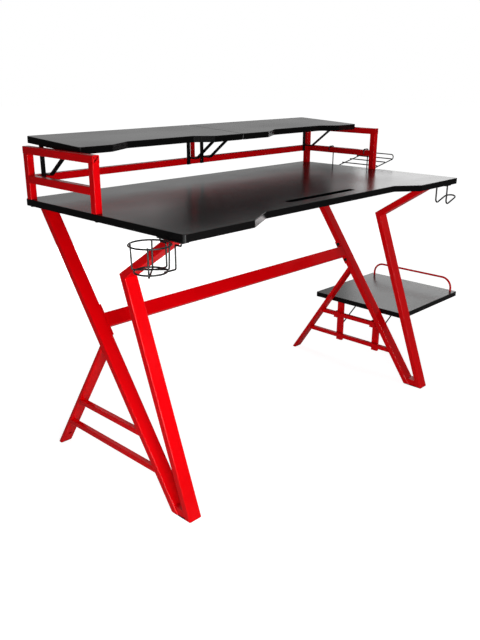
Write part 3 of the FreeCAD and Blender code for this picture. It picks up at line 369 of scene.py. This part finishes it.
wood_screw = turned_pin(SCREW_HEAD, SCREW_HEAD_HEIGHT, SCREW_SHANK, SCREW_LENGTH, SCREW_RIM)
for across in ((SLOT_LENGTH, SLOT_WIDTH), (SLOT_WIDTH, SLOT_LENGTH)):
    slot_cutter = start_piece(bpy.ops.mesh.primitive_cube_add, size=1.0,
                              location=(0.0, 0.0, SCREW_HEAD_HEIGHT), scale=(*across, 2 * SLOT_DEPTH))
    select_faces(slot_cutter, faces_down)
    bpy.ops.transform.resize(value=(SLOT_TAPER, SLOT_TAPER, 1.0))
    bpy.ops.object.mode_set(mode="OBJECT")
    cut_away(wood_screw, slot_cutter)

# Bolts with a six-sided socket
BOLT_HEAD = 6.0 * MM
BOLT_HEAD_HEIGHT = 3.5 * MM
BOLT_SHANK = 3.0 * MM
BOLT_RIM = 1.2 * MM
RISER_BOLT_LENGTH = 24.0 * MM
STRETCHER_BOLT_LENGTH = 20.0 * MM
SOCKET_SIDES = 6
SOCKET_RADIUS = 2.9 * MM
SOCKET_DEPTH = 2.2 * MM


def socket_bolt(length):
    """A bolt of that length, head up."""
    pin = turned_pin(BOLT_HEAD, BOLT_HEAD_HEIGHT, BOLT_SHANK, length, BOLT_RIM)
    cutter = start_piece(bpy.ops.mesh.primitive_cylinder_add, vertices=SOCKET_SIDES, radius=SOCKET_RADIUS,
                         depth=2 * SOCKET_DEPTH, location=(0.0, 0.0, BOLT_HEAD_HEIGHT))
    cut_away(pin, cutter)
    return pin


riser_bolt = socket_bolt(RISER_BOLT_LENGTH)
stretcher_bolt = socket_bolt(STRETCHER_BOLT_LENGTH)

# Where the heads sit, in millimetres, and the way each shank points
UP = (0.0, 0.0, 1.0)
BACK = (0.0, 1.0, 0.0)
FORWARD = (0.0, -1.0, 0.0)
SHELF_UP = (0.0, -0.0523, 0.9986)
BRACKET_SEATS = ((290.0, 804.0, BACK), (259.71, 889.07, SHELF_UP), (208.65, 886.4, SHELF_UP))
PLATE_LOW = 729.0
TOP_LOW = 732.0
STAND_ARM_LOW = 223.0
RISER_X = 590.0
CUP_SCREW_X = -588.0
HOOK_SCREW_Y = -299.9
STRETCHER_END = 535.0

bracket_places = []
for x in (-556.0, -29.0, 29.0, 556.0):
    for y, z, direction in BRACKET_SEATS:
        bracket_places.append(((x, y, z), direction))
leg_places = [((x, y, PLATE_LOW), UP) for x in (-570.0, -546.0, 546.0, 570.0) for y in (-214.6, 233.0)]
accessory_places = [((CUP_SCREW_X, y, PLATE_LOW), UP) for y in (-282.75, -267.25)]
accessory_places += [((x, HOOK_SCREW_Y, PLATE_LOW), UP) for x in (537.0, 553.0)]
stand_places = [((x, y, STAND_ARM_LOW), UP) for x in (688.7, 903.5) for y in (-60.61, 104.68)]
riser_places = [((x, y, TOP_LOW), UP) for x in (-RISER_X, RISER_X) for y in (5.0, 304.0)]
stretcher_places = []
for side in (-1.0, 1.0):
    for y, z in ((58.69, 415.9), (95.71, 468.1)):
        stretcher_places.append(((side * STRETCHER_END, y, z), (side, 0.0, 0.0)))

place_copies(wood_screw, "bracket_screws_driven", bracket_places, "desk", "bracket_screws", screw_steel)
place_copies(wood_screw, "leg_screws_driven", leg_places, "desk", "leg_screws", screw_steel)
place_copies(wood_screw, "accessory_screws_driven", accessory_places, "desk", "accessory_screws", screw_steel)
place_copies(wood_screw, "cpu_screws_driven", stand_places, "cpu_stand", "cpu_screws", screw_steel)
place_copies(riser_bolt, "riser_bolts_set", riser_places, "desk", "riser_bolts", screw_steel)
place_copies(stretcher_bolt, "stretcher_bolts_set", stretcher_places, "desk", "stretcher_bolts", screw_steel)
bpy.data.objects.remove(wood_screw)
bpy.data.objects.remove(riser_bolt)
bpy.data.objects.remove(stretcher_bolt)

# Plugs in the ends of the top rails: a square body with a rounded, slightly raised cap, cap up
PLUG_WIDTH = 17.0 * MM
PLUG_LENGTH = 12.0 * MM
CAP_RIM = 1.6 * MM
CAP_RISE = 0.8 * MM
CAP_TAPER = 0.86
CAP_EDGE = 0.4 * MM
PLUG_CORNER = 1.5 * MM
RAIL_ENDS = ((-5.0, BACK), (314.0, FORWARD))
RAIL_MIDDLE = 880.0

end_plug = start_piece(bpy.ops.mesh.primitive_cube_add, size=1.0, location=(0.0, 0.0, -PLUG_LENGTH / 2),
                       scale=(PLUG_WIDTH, PLUG_WIDTH, PLUG_LENGTH))
select_edges(end_plug, lambda a, b: abs(a.z - b.z) > PLUG_LENGTH / 2)
bpy.ops.mesh.bevel(offset=PLUG_CORNER, segments=3, affect="EDGES")
select_faces(end_plug, faces_up)
bpy.ops.mesh.inset(thickness=CAP_RIM)
extrude_by((0.0, 0.0, CAP_RISE))
bpy.ops.transform.resize(value=(CAP_TAPER, CAP_TAPER, 1.0))
bpy.ops.mesh.bevel(offset=CAP_EDGE, segments=2, affect="EDGES")
bpy.ops.object.mode_set(mode="OBJECT")
plug_places = []
for x in (-RISER_X, RISER_X):
    for y, direction in RAIL_ENDS:
        plug_places.append(((x, y, RAIL_MIDDLE), direction))
place_copies(end_plug, "rail_end_plugs_capped", plug_places, "desk", "rail_end_plugs", plug_plastic)
bpy.data.objects.remove(end_plug)


# Foot pads and stand bumpers: rubber blocks with rounded corners and softened edges
X_AXIS = 0
Z_AXIS = 2
RUBBER_CORNER = 3.0 * MM
RUBBER_EDGE = 0.6 * MM


def rubber_block(low, high, axis):
    """A block between two corners, in millimetres, with its corners rounded about one axis."""
    low = Vector(low) * MM
    high = Vector(high) * MM
    block = start_piece(bpy.ops.mesh.primitive_cube_add, size=1.0, location=(low + high) / 2,
                        scale=high - low)
    depth = (high - low)[axis]
    select_edges(block, lambda a, b: abs(a[axis] - b[axis]) > depth / 2)
    bpy.ops.mesh.bevel(offset=RUBBER_CORNER, segments=4, affect="EDGES")
    outer = high[axis] if axis == X_AXIS else low[axis]

    def is_outer(face):
        return abs(face.center[axis] - outer) < depth / 10 and abs(face.normal[axis]) > FACING

    select_faces(block, is_outer)
    bpy.ops.mesh.bevel(offset=RUBBER_EDGE, segments=2, affect="EDGES")
    bpy.ops.object.mode_set(mode="OBJECT")
    return block


def join_blocks(blocks, name, body, node):
    """Join the blocks and let them stand for the node's solids."""
    bpy.ops.object.select_all(action="DESELECT")
    for block in blocks:
        block.select_set(True)
    bpy.context.view_layer.objects.active = blocks[0]
    bpy.ops.object.join()
    finish_piece(bpy.context.object, name, body, node, pad_rubber)


PAD_HEIGHT = 2.0
PAD_SPANS = (
    (-577.0, -539.0, -294.564, -223.582),
    (539.0, 577.0, -294.564, -223.582),
    (-577.0, -541.0, 292.307, 304.681),
    (541.0, 577.0, 292.307, 304.681),
)
foot_blocks = []
for low_x, high_x, low_y, high_y in PAD_SPANS:
    foot_blocks.append(rubber_block((low_x, low_y, 0.0), (high_x, high_y, PAD_HEIGHT), Z_AXIS))
join_blocks(foot_blocks, "foot_pads_rounded", "desk", "foot_pads")

BUMPER_NEAR = 578.3
BUMPER_FAR = 581.3
BUMPER_LOW = 90.0
BUMPER_HIGH = 104.0
bumper_blocks = []
for low_y, high_y in ((-73.608, -47.608), (91.676, 117.676)):
    low_corner = (BUMPER_NEAR, low_y, BUMPER_LOW)
    high_corner = (BUMPER_FAR, high_y, BUMPER_HIGH)
    bumper_blocks.append(rubber_block(low_corner, high_corner, X_AXIS))
join_blocks(bumper_blocks, "cpu_bumpers_rounded", "cpu_stand", "cpu_bumpers")

# Floor: a wide pale plane that looks near white to the camera and keeps the shadow near the desk
WHITE = (1.0, 1.0, 1.0, 1.0)
FLOOR_SIZE = 40.0
FLOOR_LEVEL = -0.3 * MM
NEAR_GLOW = 0.87
FAR_GLOW = 0.97
NEAR_REACH = 1.2
FAR_REACH = 3.2
FLOOR_GRAIN = 0.6
FLOOR_DARK = (0.46, 0.46, 0.46)
FLOOR_LIGHT = (0.48, 0.48, 0.48)
FLOOR_ROUGH = 0.9
floor = start_piece(bpy.ops.mesh.primitive_plane_add, size=FLOOR_SIZE, location=(0.0, 0.0, FLOOR_LEVEL))
floor.name = "studio_floor"
floor_finish, tree, shader, place = start_finish("pale_floor")
tone = shade(tree, grain(tree, place, FLOOR_GRAIN), FLOOR_DARK, FLOOR_LIGHT)
tree.links.new(tone, shader.inputs["Base Color"])
shader.inputs["Roughness"].default_value = FLOOR_ROUGH
shader.inputs["Specular IOR Level"].default_value = 0.0
shader.inputs["Emission Color"].default_value = WHITE
reach = tree.nodes.new("ShaderNodeVectorMath")
reach.operation = "LENGTH"
tree.links.new(place, reach.inputs[0])
glow = spread(tree, reach.outputs["Value"], NEAR_GLOW, FAR_GLOW, NEAR_REACH, FAR_REACH)
seen = tree.nodes.new("ShaderNodeMath")
seen.operation = "MULTIPLY"
tree.links.new(glow, seen.inputs[0])
tree.links.new(tree.nodes.new("ShaderNodeLightPath").outputs["Is Camera Ray"], seen.inputs[1])
tree.links.new(seen.outputs["Value"], shader.inputs["Emission Strength"])
floor.data.materials.append(floor_finish)

# World: white to the camera; to gloss, pale towards the back right and dim elsewhere; a soft grey to the rest
STUDIO_GREY = 0.14
BRIGHT_SIDE = (0.84, 0.53, 0.12)
PALE = (0.68, 0.68, 0.68)
DIM = (0.06, 0.06, 0.06)
DIM_END = 0.3
PALE_START = 0.8
world = bpy.data.worlds.new("studio")
scene.world = world
world.use_nodes = True
tree = world.node_tree
tree.nodes.clear()
heading = tree.nodes.new("ShaderNodeTexCoord").outputs["Generated"]
facing = tree.nodes.new("ShaderNodeVectorMath")
facing.operation = "DOT_PRODUCT"
tree.links.new(heading, facing.inputs[0])
facing.inputs[1].default_value = BRIGHT_SIDE
gloss = shade(tree, facing.outputs["Value"], DIM, PALE, DIM_END, PALE_START)
lit = add_part(tree, "ShaderNodeBackground", Color=WHITE, Strength=STUDIO_GREY)
sheen = add_part(tree, "ShaderNodeBackground", Color=gloss, Strength=1.0)
shown = add_part(tree, "ShaderNodeBackground", Color=WHITE, Strength=1.0)
rays = tree.nodes.new("ShaderNodeLightPath")
surface = lit.outputs["Background"]
for ray, light in (("Is Glossy Ray", sheen), ("Is Transmission Ray", shown), ("Is Camera Ray", shown)):
    blend = tree.nodes.new("ShaderNodeMixShader")
    tree.links.new(rays.outputs[ray], blend.inputs["Fac"])
    tree.links.new(surface, blend.inputs[1])
    tree.links.new(light.outputs["Background"], blend.inputs[2])
    surface = blend.outputs["Shader"]
output = tree.nodes.new("ShaderNodeOutputWorld")
tree.links.new(surface, output.inputs["Surface"])


# Soft boxes: each is aimed at a place on the desk, and none is seen by the camera
def soft_box(name, place, aim, width, height, power, in_gloss=True, in_diffuse=True, cone=180.0):
    """An area lamp in metres and watts; it can stay out of the gloss, or show only there."""
    data = bpy.data.lights.new(name, "AREA")
    data.shape = "RECTANGLE"
    data.size = width
    data.size_y = height
    data.energy = power
    data.spread = math.radians(cone)
    lamp = bpy.data.objects.new(name, data)
    lamp.location = place
    lamp.rotation_mode = "QUATERNION"
    lamp.rotation_quaternion = (Vector(aim) - Vector(place)).to_track_quat("-Z", "Y")
    lamp.visible_camera = False
    lamp.visible_glossy = in_gloss
    lamp.visible_diffuse = in_diffuse
    scene.collection.objects.link(lamp)


soft_box("key_box", (-1.05, -1.35, 0.6), (-0.4, 0.0, 0.5), 0.6, 0.6, 11.0)
soft_box("upper_box", (-0.75, -1.25, 0.95), (-0.3, 0.2, 0.7), 0.5, 0.3, 5.5)
soft_box("leg_box", (-1.3, -1.1, 0.3), (-0.55, -0.15, 0.3), 0.5, 0.3, 0.5, cone=70.0)
soft_box("right_box", (0.9, -2.4, 0.95), (0.4, 0.2, 0.8), 0.6, 0.4, 11.0, in_gloss=False)
soft_box("side_box", (-2.2, -0.9, 0.2), (-0.5, -0.1, 0.3), 0.8, 0.6, 5.0)
soft_box("top_box", (0.2, -0.2, 3.6), (0.0, 0.0, 0.7), 2.6, 2.0, 3.0)
soft_box("back_box", (3.3, 1.17, 1.2), (0.6, -0.1, 0.5), 1.3, 1.0, 6.4)
soft_box("rear_box", (0.7, 2.6, 0.5), (0.1, 0.2, 0.45), 0.8, 0.6, 28.0, in_gloss=False)
soft_box("low_box", (3.2, 0.65, 0.2), (-0.3, -0.2, 0.75), 1.4, 0.6, 10.0, in_diffuse=False)

# A dark card behind the gap over the rear beam, a painted dark reflection: only the gloss of the top sees it,
# so it darkens the top's sheen there, and its left end fades out
CARD_MIDDLE = (0.45, 0.45, 0.88)
CARD_HEIGHT = 0.1
CARD_GRAIN = 40.0
CARD_DARK = (0.01, 0.01, 0.01)
CARD_LIGHT = (0.016, 0.016, 0.016)
FADE_START = -0.05
FADE_END = 0.16
card = start_piece(bpy.ops.mesh.primitive_plane_add, size=1.0, location=CARD_MIDDLE,
                   rotation=(math.radians(90.0), 0.0, 0.0))
bpy.ops.object.mode_set(mode="EDIT")
bpy.ops.mesh.select_all(action="SELECT")
bpy.ops.transform.resize(value=(1.0, 1.0, CARD_HEIGHT), center_override=CARD_MIDDLE)
bpy.ops.object.mode_set(mode="OBJECT")
card.name = "dark_card"
# The card's matt near-black finish; it serves only as the painted dark reflection in the top's gloss
card_finish, tree, shader, place = start_finish("painted_dark_reflection_card")
tone = shade(tree, grain(tree, place, CARD_GRAIN), CARD_DARK, CARD_LIGHT)
tree.links.new(tone, shader.inputs["Base Color"])
shader.inputs["Roughness"].default_value = 1.0
shader.inputs["Specular IOR Level"].default_value = 0.0
along = add_part(tree, "ShaderNodeSeparateXYZ", Vector=place).outputs["X"]
tree.links.new(spread(tree, along, 0.0, 1.0, FADE_START, FADE_END), shader.inputs["Alpha"])
card.data.materials.append(card_finish)
card.visible_camera = False
card.visible_diffuse = False
card.visible_shadow = False
card.visible_transmission = False
